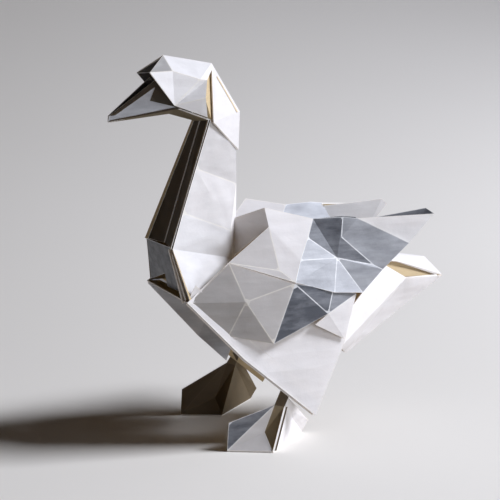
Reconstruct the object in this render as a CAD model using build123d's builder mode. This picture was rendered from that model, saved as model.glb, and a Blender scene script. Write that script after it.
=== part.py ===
"""Origami goose folded from one sheet of two-tone paper, standing on two folded feet.

Millimetres, +Z up, beak towards -X, left side towards -Y, origin on the ground under the middle.
Each fold corner hangs on another one by a named step: run along the body, half width, rise.
"""

import os

from build123d import *

# The sheet
PAPER = 0.45
MITRE_LIMIT = 2.0
SMALLEST_REACH = 0.1

# Body: lowest flank corner, chest and neck base
STAND = 9.4
FLANK_HALF = 22.0
FLANK_RUN = 41.3
FLANK_RISE = 38.3
CHEST_HALF = 20.7
CHEST_LEAN = 2.1
CHEST_RISE = 15.1
BELLY_SHARE = 0.42
BELLY_BOW = 2.3
NECK_BASE_HALF = 13.6

# Neck, from its base up to the throat and back to the nape
NECK_LEAN = 14.3
NECK_RISE = 38.0
THROAT_HALF = 7.6
NAPE_STEP = (12.1, 0.0, 2.2)
NECK_TOP_SHARE = 0.85
NECK_FOLD_SHARES = (0.38, 0.72)
NECK_RIDGE_STEP = (-1.2, 0.0, -22.5)
NECK_KNEE_STEP = (-2.5, 2.8, 9.0)
NECK_FOOT_STEP = (24.9, 0.0, -5.6)
NECK_TUCK_STEP = (23.7, 1.0, -5.7)
SEAM_TOP_STEP = (-0.2, 0.3, 0.5)
SEAM_BASE_STEP = (2.0, 0.3, 0.2)
BIB_STEP = (1.0, 20.3, 0.6)
BIB_HEM = 6.0

# Chest apron, the lip under it and the two pleats on its left
APRON_SET_BACK = 2.2
APRON_RIGHT_INSET = 0.4
NOTCH_WIDTH_SHARE = 0.42
NOTCH_RISE_SHARE = 0.3
PLEAT_TOP_STEPS = ((0.1, 12.7, -1.7), (-0.7, 11.7, -0.2))
PLEAT_LOW_STEPS = ((-0.7, 19.2, -1.0), (-1.5, 18.1, -1.2))
PLEAT_DEPTH = 4.5
LIP_DEPTH = 4.0

# Rim of the body and the back between the wings
RIM_TOP_STEP = (30.2, 10.5, 20.0)
RIM_FOLD_STEP = (14.5, 16.6, 10.5)
GUSSET_INSET = 0.8
GUSSET_RISE = 12.0
BACK_FRONT_STEP = (14.8, 0.0, -5.5)
BACK_REAR_STEP = (39.8, 0.0, -11.0)

# Wing: top edge, tip, rear edge and the creases between, from the wing root
ROOT_STEP = (-0.4, 8.0, 5.4)
WING_TOP_STEP = (15.2, 10.7, -3.7)
WING_FOLD_STEP = (24.8, 12.4, -3.4)
WING_SPLIT_STEP = (29.4, 13.3, -3.8)
WING_SPLIT_WIDTH = 1.2
WING_TIP_STEP = (55.4, 16.3, -2.9)
WING_UPPER_TIP_STEP = (52.9, 15.2, -1.1)
WING_CORNER_STEP = (46.9, 15.5, -12.1)
WING_REAR_STEP = (37.0, 16.6, -20.0)
WING_LOW_STEP = (29.3, 18.0, -26.7)
WING_INNER_STEP = (30.0, 13.0, -20.0)
WING_KNEE_STEP = (4.9, 21.0, -21.4)
WING_BEND_STEP = (1.2, 17.2, -18.2)
WING_EDGE_STEPS = ((12.1, 13.8, -9.0), (8.2, 17.2, -15.4))
WING_MID_STEPS = ((23.7, 13.8, -9.3), (21.4, 15.5, -15.6), (18.6, 20.0, -25.6))
WING_RIDGE_STEP = (34.1, 15.8, -18.5)
RIGHT_WING_LIFT = 2.2
RIGHT_ROOT_LIFT = 1.3

# Pleated lower flap over the flank, from the wing's knee, and the flank's rear edge
FLAP_KNEE_STEP = (-0.4, 21.4, -0.3)
FLAP_CHEST_STEP = (0.8, 20.1, -0.2)
FLAP_FOOT_STEP = (13.0, 20.5, -11.0)
FLAP_FOLD_STEP = (-20.4, 17.7, 6.6)
FLAP_CREASE_STEP = (-16.6, 22.0, -4.7)
FLAP_TOE_STEP = (-7.9, 22.8, -18.0)
FLAP_TUCK_STEPS = ((13.6, 18.9, -3.2), (22.6, 17.0, -5.6))
FLAP_HEM_STEPS = ((11.4, 20.2, -10.6), (17.8, 18.8, -19.4), (7.0, 20.4, -13.7))
FLANK_REAR_STEP = (18.5, 18.0, -20.1)
FLANK_TOP_STEP = (22.2, 16.0, -5.9)
FLANK_TUCK_SHARES = ((0.62, 0.24), (0.31, 0.57))

# Tail, a roof over a keeled hull, from the rear end of the back
TAIL_ROOT_STEP = (-3.5, 0.0, 0.7)
TAIL_BEND_STEP = (29.2, 0.0, -4.8)
TAIL_TIP_STEP = (36.1, 0.0, -11.4)
TAIL_EAVE_STEP = (16.6, 4.4, -5.0)
TAIL_EAVE_FRONT_STEP = (3.0, 7.0, -3.0)
TAIL_RAIL_STEP = (19.8, 5.0, -10.4)
TAIL_RAIL_FRONT_STEP = (10.6, 6.4, -5.3)
TAIL_KEEL_STEP = (20.6, 0.0, -21.2)
TAIL_KEEL_FRONT_STEP = (0.3, 0.0, -35.3)
STERN_INSET = 3.0
STERN_DROP = 6.0

# Head: hood over the beak, and the collar behind it, from the throat
HOOD_BACK_STEP = (3.0, 0.0, 16.8)
HOOD_FOLD_STEP = (-3.7, 0.0, 17.9)
HOOD_FRONT_STEP = (-12.4, 0.0, 19.2)
HOOD_TIP_STEP = (-18.7, 6.9, 14.2)
HOOD_BROW_STEP = (-11.2, 5.4, 14.6)
HOOD_TEMPLE_STEP = (-2.6, 5.6, 12.2)
HOOD_NICK_STEP = (0.0, 4.6, 11.9)
HOOD_CHEEK_STEP = (-1.4, 7.6, 6.6)
HOOD_LOW_FRONT_STEP = (-10.7, 5.6, 4.4)
HOOD_LOW_BACK_STEP = (-0.8, 7.4, 0.8)
COLLAR_CREASE = 2.0
COLLAR_FRONT_STEP = (0.5, 8.7, -0.6)
COLLAR_LOW_STEP = (-0.4, 0.0, -11.8)

# Beak, from the hood's lower front corner
BEAK_TIP_STEP = (-19.1, 0.2, -4.8)
BEAK_NOSE_STEP = (-18.9, 0.5, -3.0)
BEAK_TOP_STEP = (-4.6, 4.6, 8.4)
BEAK_ROOT_LENGTH = 2.5
BEAK_ROOT_INSET = 0.7
JAW_EDGE_STEP = (0.6, 4.6, -0.6)
JAW_KEEL_STEP = (0.0, 0.0, -2.4)
CHIN_STEP = (-2.6, 0.0, -0.2)

# Leg on the flank's lower edge, and the foot from there: run, sideways step to the left, height
LEG_SHARE = 0.743
LEG_INSET = 0.3
LEG_RISE = 3.5
LEG_TOP_RUNS = (0.3, 2.6)
RIGHT_LEG_SHIFT = -1.0
RIGHT_ANKLE_STEP = (1.0, 0.0, 3.6)
ANKLE_FRONT = (-2.2, -1.6, 13.5)
ANKLE_REAR = (2.1, -1.2, 15.5)
ANKLE_RIDGE = (0.6, -0.9, 12.8)
FOOT_SINK = 0.1
SOLE_STEPS = ((-17.5, -2.6), (-4.9, 3.4), (12.0, -13.3))
FOOT_SPUR = (14.0, -12.6, 4.0)
FOOT_FIN = (-16.9, -2.8, 9.0)
FOOT_VALLEY = (-5.5, -1.6, 5.2)


def corner(start, step):
    """Fold corner on the left side, a run and a rise from another, at its own half width."""
    run, half, rise = step
    return Vector(start.X + run, -half, start.Z + rise)


def between(start, end, share):
    """Point on the edge from one corner to another."""
    return start + (end - start) * share


def toward(start, end, length):
    """Point at a given length from one corner in the direction of another."""
    return start + (end - start).normalized() * length


def fan(*points):
    """Triangles that cover a facet, all from its first corner."""
    return [[points[0], points[i], points[i + 1]] for i in range(1, len(points) - 1)]


def mirrored(facets):
    """The same facets on the right side."""
    return [[Vector(p.X, -p.Y, p.Z) for p in facet] for facet in facets]


def raised(facets, corners, lift):
    """The facets with the given corners higher."""
    names = [key(p) for p in corners]
    return [[p + Vector(0, 0, lift) if key(p) in names else p for p in facet] for facet in facets]


def key(point):
    """What makes two corners one corner."""
    return (round(point.X, 5), round(point.Y, 5), round(point.Z, 5))


def edges_of(facet):
    """The three directed edges of a triangle."""
    names = [key(p) for p in facet]
    return [(names[i], names[(i + 1) % 3]) for i in range(3)]


def turned_alike(facets):
    """The facets with their sides turned so that neighbours across a crease agree."""
    done = [facets[0]]
    waiting = list(facets[1:])
    used = set(edges_of(facets[0]))
    while waiting:
        for facet in waiting:
            edges = edges_of(facet)
            alike = any((b, a) in used for a, b in edges)
            if alike or any(edge in used for edge in edges):
                break
        waiting.remove(facet)
        done.append(facet if alike else facet[::-1])
        used.update(edges_of(done[-1]))
    return done


def mitres(facets):
    """Shift of every corner that carries a skin half a layer off all facets meeting there."""
    around = {}
    for facet in facets:
        for i, point in enumerate(facet):
            arm = facet[(i + 1) % 3] - point
            other = facet[(i + 2) % 3] - point
            facing = arm.cross(other).normalized()
            around.setdefault(key(point), []).append((facing, arm.get_angle(other)))
    shifts = {}
    for name, meeting in around.items():
        mean = Vector(0, 0, 0)
        for facing, angle in meeting:
            mean += facing * angle
        mean = mean.normalized()
        reach = sum(mean.dot(facing) for facing, _ in meeting) / len(meeting)
        length = min(1 / max(reach, SMALLEST_REACH), MITRE_LIMIT)
        shifts[name] = mean * (length * PAPER / 2)
    return shifts


def flat(*points):
    """Flat face with straight edges through the points."""
    with BuildLine(mode=Mode.PRIVATE) as outline:
        Polyline(*points, close=True)
    return Face(outline.wire())


def fold(facets):
    """Solid sheet creased along the edges that its triangles share."""
    facets = turned_alike(facets)
    shifts = mitres(facets)
    used = {edge for facet in facets for edge in edges_of(facet)}
    skins = []
    for facet in facets:
        skins.append(flat(*[p + shifts[key(p)] for p in facet]))
        skins.append(flat(*[p - shifts[key(p)] for p in reversed(facet)]))
        for i, (a, b) in enumerate(edges_of(facet)):
            if (b, a) not in used:
                start, end = facet[i], facet[(i + 1) % 3]
                skins.append(flat(start + shifts[a], start - shifts[a], end - shifts[b]))
                skins.append(flat(start + shifts[a], end - shifts[b], end + shifts[b]))
    return Solid(Shell(skins))


# Corners that the folds hang on
flank_tip = Vector(0, -FLANK_HALF, STAND)
chest_low = corner(flank_tip, (-FLANK_RUN, CHEST_HALF, FLANK_RISE))
neck_base = corner(chest_low, (-CHEST_LEAN, NECK_BASE_HALF, CHEST_RISE))
bib = corner(chest_low, BIB_STEP)
throat = corner(neck_base, (NECK_LEAN, THROAT_HALF, NECK_RISE))
nape = corner(throat, NAPE_STEP)
neck_foot = corner(neck_base, NECK_FOOT_STEP)
neck_tuck = corner(neck_base, NECK_TUCK_STEP)
hood_back = corner(throat, HOOD_BACK_STEP)
rim_top = corner(chest_low, RIM_TOP_STEP)
rim_fold = corner(chest_low, RIM_FOLD_STEP)
belly = toward(between(chest_low, flank_tip, BELLY_SHARE), rim_fold, -BELLY_BOW)
wing_root = corner(rim_top, ROOT_STEP)
wing_top = corner(wing_root, WING_TOP_STEP)
wing_crest = corner(wing_root, WING_FOLD_STEP)
wing_knee = corner(wing_root, WING_KNEE_STEP)
wing_split = corner(wing_root, WING_SPLIT_STEP)
wing_tip = corner(wing_root, WING_TIP_STEP)
wing_corner = corner(wing_root, WING_CORNER_STEP)
wing_inner = corner(wing_root, WING_INNER_STEP)
gusset_low = neck_foot - Vector(GUSSET_INSET, 0, 0)
gusset_top = gusset_low + Vector(0, 0, GUSSET_RISE)
back_rear = corner(gusset_top, BACK_REAR_STEP)
lining_split = toward(wing_split, back_rear, WING_SPLIT_WIDTH)
flank_rear = corner(wing_knee, FLANK_REAR_STEP)
flank_top = corner(wing_knee, FLANK_TOP_STEP)
flank_run = chest_low - flank_tip
flank_climb = flank_top - flank_tip
flank_tucks = [flank_tip + flank_run * run + flank_climb * climb for run, climb in FLANK_TUCK_SHARES]
hood_low_front = corner(throat, HOOD_LOW_FRONT_STEP)
hood_low_back = corner(throat, HOOD_LOW_BACK_STEP)
beak_tip = corner(hood_low_front, BEAK_TIP_STEP)
seam_top = corner(throat, SEAM_TOP_STEP)


def neck():
    """Left half of the neck: front flap, side wall with its creases, crimp and bib."""
    neck_top = between(hood_back, nape, NECK_TOP_SHARE)
    front_fold, front_bend = [between(throat, neck_base, share) for share in NECK_FOLD_SHARES]
    ridge = corner(nape, NECK_RIDGE_STEP)
    knee = corner(neck_foot, NECK_KNEE_STEP)
    seam_base = corner(neck_base, SEAM_BASE_STEP)
    hem = neck_tuck - Vector(0, 0, BIB_HEM)
    front = fan(seam_top, throat, front_fold, front_bend) + fan(seam_base, seam_top, front_bend, neck_base)
    wall = fan(throat, neck_top, ridge, front_fold) + fan(front_fold, ridge, knee, front_bend)
    crimp = fan(neck_base, front_bend, knee, neck_tuck, bib) + fan(neck_tuck, hem, bib)
    slit = fan(neck_foot, ridge, knee, neck_tuck)
    return front + wall + crimp + slit


def apron():
    """Chest panel, behind the left bib and in front of the right one, with a notch at its lower right."""
    top, low = [toward(p, neck_tuck, APRON_SET_BACK) for p in (neck_base, bib)]
    right_edge = [toward(p, neck_tuck, APRON_RIGHT_INSET) for p in (neck_base, bib)]
    right_top, right_low = mirrored([right_edge])[0]
    notch_low = between(right_low, low, NOTCH_WIDTH_SHARE)
    notch_top = between(notch_low, between(right_top, top, NOTCH_WIDTH_SHARE), NOTCH_RISE_SHARE)
    return fan(notch_top, right_low, right_top, top, low, notch_low)


def chest_lip():
    """Left half of the narrow lip that joins the flanks under the apron."""
    back = chest_low + Vector(LIP_DEPTH, 0, 0)
    return fan(chest_low, back, corner(back, (0, 0, 0)), corner(chest_low, (0, 0, 0)))


def chest_pleat(top_step, low_step):
    """Edge of one pleat between the apron and the bib."""
    top = corner(neck_base, top_step)
    low = corner(bib, low_step)
    inward = (neck_tuck - between(neck_base, bib, 0.5)).normalized() * PLEAT_DEPTH
    return fan(top, low, low + inward, top + inward)


def body():
    """Left half of the back, the wing's upper layer and the flank under it."""
    bend = corner(wing_root, WING_BEND_STEP)
    edge_high, edge_low = [corner(wing_root, step) for step in WING_EDGE_STEPS]
    mid_high, mid, mid_low = [corner(wing_root, step) for step in WING_MID_STEPS]
    ridge = corner(wing_root, WING_RIDGE_STEP)
    rear = corner(wing_root, WING_REAR_STEP)
    low = corner(wing_root, WING_LOW_STEP)
    back_front = corner(gusset_top, BACK_FRONT_STEP)
    back = fan(back_front, gusset_top, wing_root, wing_top, wing_crest, back_rear)
    back += fan(back_rear, wing_crest, wing_split, wing_inner)
    gusset = fan(gusset_top, wing_root, rim_top, gusset_low)
    shoulder = fan(rim_top, wing_root, wing_top, edge_high, edge_low, bend, rim_fold)
    shoulder += fan(wing_knee, rim_fold, bend, edge_low)
    patch = fan(mid, edge_high, wing_top, wing_crest, mid_high) + fan(mid, edge_high, edge_low)
    patch += fan(mid_high, wing_crest, wing_split, wing_corner, ridge, mid) + fan(ridge, wing_corner, rear)
    patch += fan(mid, edge_low, wing_knee, mid_low) + fan(mid, mid_low, low, rear, ridge)
    tip = fan(wing_split, wing_tip, wing_corner)
    flank = fan(flank_tip, belly, chest_low, *flank_tucks, flank_top, flank_rear)
    flank += fan(rim_fold, chest_low, *flank_tucks, wing_knee) + fan(wing_knee, flank_tucks[-1], flank_top)
    return back + gusset + shoulder + patch + tip + flank


def wing_lining():
    """Inner layer of the wing, which leaves a slit along the top up to the tip."""
    upper_tip = corner(wing_root, WING_UPPER_TIP_STEP)
    return fan(wing_corner, wing_tip, upper_tip, lining_split, wing_inner)


def lower_flap():
    """Pleated flap over the flank, folded round the body's lower front edge."""
    fold_corner = corner(wing_knee, FLAP_FOLD_STEP)
    crease = corner(wing_knee, FLAP_CREASE_STEP)
    toe = corner(wing_knee, FLAP_TOE_STEP)
    tuck, tuck_rear = [corner(wing_knee, step) for step in FLAP_TUCK_STEPS]
    hem, hem_rear, hem_low = [corner(wing_knee, step) for step in FLAP_HEM_STEPS]
    knee = corner(wing_knee, FLAP_KNEE_STEP)
    chest = corner(chest_low, FLAP_CHEST_STEP)
    foot = corner(chest_low, FLAP_FOOT_STEP)
    front = fan(crease, toe, foot, chest, fold_corner, knee, toe)
    lower = fan(hem, toe, knee, tuck, tuck_rear, hem_rear, hem_low)
    return front + lower


def tail_roof():
    """Left half of the tail's roof."""
    root = corner(back_rear, TAIL_ROOT_STEP)
    bend = corner(back_rear, TAIL_BEND_STEP)
    eave = corner(back_rear, TAIL_EAVE_STEP)
    eave_front = corner(back_rear, TAIL_EAVE_FRONT_STEP)
    return fan(bend, root, eave_front, eave, corner(back_rear, TAIL_TIP_STEP))


def tail_hull():
    """Left half of the tail's hull, from its keel up to the rail and forward to the flank."""
    rail = corner(back_rear, TAIL_RAIL_STEP)
    keel = corner(back_rear, TAIL_KEEL_STEP)
    keel_front = corner(back_rear, TAIL_KEEL_FRONT_STEP)
    stern_low = toward(flank_rear, between(flank_tip, flank_top, 0.5), STERN_INSET)
    stern_high = toward(flank_top, flank_tip, STERN_DROP)
    rail_front = corner(back_rear, TAIL_RAIL_FRONT_STEP)
    return fan(rail, corner(back_rear, TAIL_TIP_STEP), keel, keel_front, stern_low, stern_high, rail_front)


def head():
    """Left half of the hood over the beak and of the collar that hangs on it at the nape."""
    roof_fold = corner(throat, HOOD_FOLD_STEP)
    front = corner(throat, HOOD_FRONT_STEP)
    tip = corner(throat, HOOD_TIP_STEP)
    brow = corner(throat, HOOD_BROW_STEP)
    temple = corner(throat, HOOD_TEMPLE_STEP)
    nick = corner(throat, HOOD_NICK_STEP)
    cheek = corner(throat, HOOD_CHEEK_STEP)
    collar_front = corner(throat, COLLAR_FRONT_STEP)
    collar_crease = toward(hood_back, collar_front, COLLAR_CREASE)
    roof = fan(temple, brow, front, roof_fold, hood_back, collar_crease, nick)
    side = fan(hood_low_front, tip, brow, temple, nick, cheek, hood_low_back)
    collar = fan(nape, hood_back, collar_crease, collar_front, corner(nape, COLLAR_LOW_STEP))
    return roof + fan(brow, front, tip) + side + collar


def beak_wall():
    """Left wall of the beak, tucked under the hood."""
    nose = corner(hood_low_front, BEAK_NOSE_STEP)
    top = corner(hood_low_front, BEAK_TOP_STEP)
    root = toward(hood_low_front, hood_low_back, BEAK_ROOT_LENGTH) + Vector(0, BEAK_ROOT_INSET, 0)
    return fan(beak_tip, nose, top, root)


def jaw():
    """Left half of the lower jaw and the chin behind it."""
    tip = Vector(beak_tip.X, 0, beak_tip.Z)
    edge = corner(hood_low_front, JAW_EDGE_STEP)
    keel = corner(hood_low_front, JAW_KEEL_STEP)
    chin = corner(throat, CHIN_STEP)
    seam = Vector(seam_top.X, 0, seam_top.Z)
    return fan(edge, tip, keel, chin, throat) + fan(throat, chin, seam)


def placed(leg, step):
    """Corner of a foot, by its run and sideways step from the leg and its height."""
    run, side, height = step
    return Vector(leg.X + run, leg.Y - side, height)


def leg_and_foot(leg, hand, ankle_step):
    """Leg on the flank's inner face and the creased foot that spreads from its ankle."""
    lift = (flank_tucks[-1] - between(chest_low, flank_tip, LEG_SHARE)).normalized() * LEG_RISE
    edge = (flank_tip - chest_low).normalized()
    tops = [lift + edge * run for run in LEG_TOP_RUNS]
    top_front, top_rear = [leg + Vector(top.X, top.Y * hand, top.Z) for top in tops]
    ankles = (ANKLE_FRONT, ANKLE_REAR, ANKLE_RIDGE)
    front, rear, ridge = [placed(leg, step) + Vector(*ankle_step) for step in ankles]
    toe, outer, heel = [placed(leg, (*step, PAPER - FOOT_SINK)) for step in SOLE_STEPS]
    spur = placed(leg, FOOT_SPUR)
    valley = placed(leg, FOOT_VALLEY)
    web = fan(valley, ridge, front, toe, outer, ridge)
    return (
        fan(ridge, rear, top_rear, top_front, front)
        + web
        + fan(ridge, outer, heel, spur, rear)
        + fan(toe, front, placed(leg, FOOT_FIN))
    )


def sole(leg):
    """Flat layer under a foot."""
    return fan(*[placed(leg, (*step, PAPER / 2)) for step in SOLE_STEPS])


left_leg = between(chest_low, flank_tip, LEG_SHARE) + Vector(0, LEG_INSET, 0)
right_leg = Vector(left_leg.X + RIGHT_LEG_SHIFT, -left_leg.Y, left_leg.Z)

halves = [neck(), chest_lip(), tail_roof(), tail_hull(), head(), jaw()]
sides = [lower_flap(), beak_wall()]
right_tops = mirrored([[wing_top, wing_crest, wing_split, lining_split]])[0]
right_body = raised(mirrored(body()), right_tops, RIGHT_WING_LIFT)
right_body = raised(right_body, mirrored([[wing_root]])[0], RIGHT_ROOT_LIFT)
right_lining = raised(mirrored(wing_lining()), right_tops, RIGHT_WING_LIFT)

sheets = [half + mirrored(half) for half in halves]
sheets += [body() + right_body, wing_lining(), right_lining]
sheets += [apron()] + [chest_pleat(*steps) for steps in zip(PLEAT_TOP_STEPS, PLEAT_LOW_STEPS)]
sheets += sides + [mirrored(side) for side in sides]
for leg, hand, ankle_step in ((left_leg, 1, (0, 0, 0)), (right_leg, -1, RIGHT_ANKLE_STEP)):
    sheets += [leg_and_foot(leg, hand, ankle_step), sole(leg)]

with BuildPart() as folded_sheet:
    add([fold(sheet) for sheet in sheets])

box = folded_sheet.part.bounding_box()
goose = Pos(-box.center().X, -box.center().Y, -box.min.Z) * folded_sheet.part
goose.label = "folded_sheet"
os.makedirs("parts", exist_ok=True)
export_step(goose, "parts/folded_sheet.step")
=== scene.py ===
"""Dressed origami goose: one folded sheet of two-tone paper, with worn creases and bulged facets."""

import enum
import logging
import math
from dataclasses import dataclass, replace
from typing import ClassVar

import bpy
import numpy as np
from mathutils import Matrix


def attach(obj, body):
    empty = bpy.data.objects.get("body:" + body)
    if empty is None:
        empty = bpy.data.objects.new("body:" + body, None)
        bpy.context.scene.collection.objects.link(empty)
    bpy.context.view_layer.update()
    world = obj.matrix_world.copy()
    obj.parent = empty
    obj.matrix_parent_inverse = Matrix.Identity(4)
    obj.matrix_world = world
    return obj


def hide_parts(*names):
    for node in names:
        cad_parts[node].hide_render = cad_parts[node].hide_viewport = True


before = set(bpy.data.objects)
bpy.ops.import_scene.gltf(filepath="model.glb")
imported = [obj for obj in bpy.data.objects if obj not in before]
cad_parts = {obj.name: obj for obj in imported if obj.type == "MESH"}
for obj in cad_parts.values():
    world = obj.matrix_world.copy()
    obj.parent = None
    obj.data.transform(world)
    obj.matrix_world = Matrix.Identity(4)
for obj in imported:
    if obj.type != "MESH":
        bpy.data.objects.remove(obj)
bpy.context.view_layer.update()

log = logging.getLogger("goose")

Array = np.ndarray
Point = np.ndarray
Step = tuple[float, float, float]
Span = tuple[float, float]
Socket = bpy.types.NodeSocket

MM = 0.001
NODE = "folded_sheet"
ROOT = "root"

# The flank's lowest corner along X and the goose's middle plane along Y, in mm.
MIDDLE_X = 1.016
MIDDLE_Y = -4.909

# Corners that agree to this many digits of a mm are the same corner.
DIGITS = 4
TINY = 1e-12
SHARP_ANGLE = math.radians(9)
TRIM_THICK = 0.2
FINE_THICK = 0.12

LEFT: Step = (0.0, -1.0, 0.0)
RIGHT: Step = (0.0, 1.0, 0.0)
FRONT: Step = (-1.0, 0.0, 0.0)
UP: Step = (0.0, 0.0, 1.0)
DOWN: Step = (0.0, 0.0, -1.0)


class Tone(enum.IntEnum):
    """Which side of the two-tone sheet a skin shows, or a third tone: white paper painted tan to near black,
    which stands for the shade and warm bounce light where it sits in shelter.
    """

    WHITE = 0
    GREY = 1
    # Painted shade: white paper coloured tan to near black where it sits in shade.
    PAINTED_SHADE = 2


def offset(run: float = 0.0, side: float = 0.0, rise: float = 0.0) -> Point:
    """Vector along the body to the tail, sideways to the right and up."""
    return np.array([run, side, rise])


def corner(start: Point, step: Step) -> Point:
    """Fold corner on the left side: a run and a rise from another corner, at its own half width.

    Args:
        start: The corner it hangs on, in mm.
        step: Run along the body, half width, rise.

    Returns:
        The corner in mm.
    """
    run, half, rise = step
    return np.array([start[0] + run, -half, start[2] + rise])


def between(start: Point, end: Point, share: float) -> Point:
    """Point on the edge from one corner to another, at a share of its length."""
    return start + (end - start) * share


def sized(vector: Point, length: float) -> Point:
    """The vector at another length."""
    return vector / np.linalg.norm(vector) * length


def toward(start: Point, end: Point, length: float) -> Point:
    """Point at a length from one corner in the direction of another."""
    return start + sized(end - start, length)


def flipped(point: Point) -> Point:
    """The same corner on the right side."""
    return point * np.array([1.0, -1.0, 1.0])


def middle(point: Point) -> Point:
    """The corner moved sideways into the middle plane."""
    return point * np.array([1.0, 0.0, 1.0])


def shared_name(point: Point) -> tuple[float, ...]:
    """A corner's rounded place, which is equal for panels that share it."""
    return tuple(np.round(point, DIGITS))


def rgba(colour: Step) -> tuple[float, ...]:
    """Opaque colour for a node."""
    return (*colour, 1.0)


@dataclass(frozen=True)
class Panel:
    """Facets that fan out from their first corner, with the tone of the outer and the inner skin.

    The last two fields say how pale the panel's tone is, from 0 to 1, outside and inside; this paleness is
    painted shade and light, set per panel to stand for how light falls on it.
    """

    points: tuple[Point, ...]
    outer: Tone = Tone.WHITE
    inner: Tone = Tone.PAINTED_SHADE
    # Painted shade and light: how pale each skin is drawn, standing for how light falls on it.
    wash: float = 1.0
    inner_wash: float = 0.7

    def triangles(self) -> list[list[Point]]:
        """The facets as triangles, all from the first corner."""
        p = self.points
        return [[p[0], p[i], p[i + 1]] for i in range(1, len(p) - 1)]

    def flipped(self) -> "Panel":
        """The same panel on the right side."""
        return replace(self, points=tuple(flipped(p) for p in self.points))

    def moved(self, way: Point) -> "Panel":
        """The same panel elsewhere."""
        return replace(self, points=tuple(p + way for p in self.points))

    def raised(self, corners: list[Point], lift: float) -> "Panel":
        """The panel with some of its corners higher.

        Args:
            corners: The corners to raise.
            lift: How much, in mm.

        Returns:
            The new panel.
        """
        up = offset(rise=lift)
        points = tuple(p + up if any(np.allclose(p, c) for c in corners) else p for p in self.points)
        return replace(self, points=points)


def panel(*points: Point, **dress: Tone | float) -> Panel:
    """Panel through the given corners."""
    return Panel(points, **dress)


def mirrored(panels: list[Panel]) -> list[Panel]:
    """The panels' twins on the right side."""
    return [p.flipped() for p in panels]


def both(panels: list[Panel]) -> list[Panel]:
    """The panels and their twins on the right side."""
    return panels + mirrored(panels)


@dataclass(frozen=True)
class Crumple:
    """Soft unevenness of handled paper, as a sum of sine waves over space."""

    seed: int = 7
    waves: int = 26
    longest: float = 34.0
    shortest: float = 7.0
    height: float = 0.12

    def at(self, points: Array) -> Array:
        """Height of the unevenness at points.

        Each wave is a sine of the position along a random direction. Its length runs evenly in
        octaves from the longest to the shortest, and its height falls with its length.

        Args:
            points: Array of shape (n, 3) in mm.

        Returns:
            Heights in mm, shape (n,).
        """
        rng = np.random.default_rng(self.seed)
        heading = rng.normal(size=(self.waves, 3))
        heading /= np.linalg.norm(heading, axis=1)[:, None]
        length = self.longest * (self.shortest / self.longest) ** np.linspace(0, 1, self.waves)
        phase = rng.uniform(0, 2 * np.pi, self.waves)
        angle = points @ (heading * (2 * np.pi / length)[:, None]).T + phase
        weight = length / length.max()
        return self.height * (np.sin(angle) @ weight) / math.sqrt(float((weight**2).sum()) / 2)


HANDLED = Crumple()
PRESSED = Crumple(height=0.07)
SMOOTH = Crumple(height=0.0)


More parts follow.
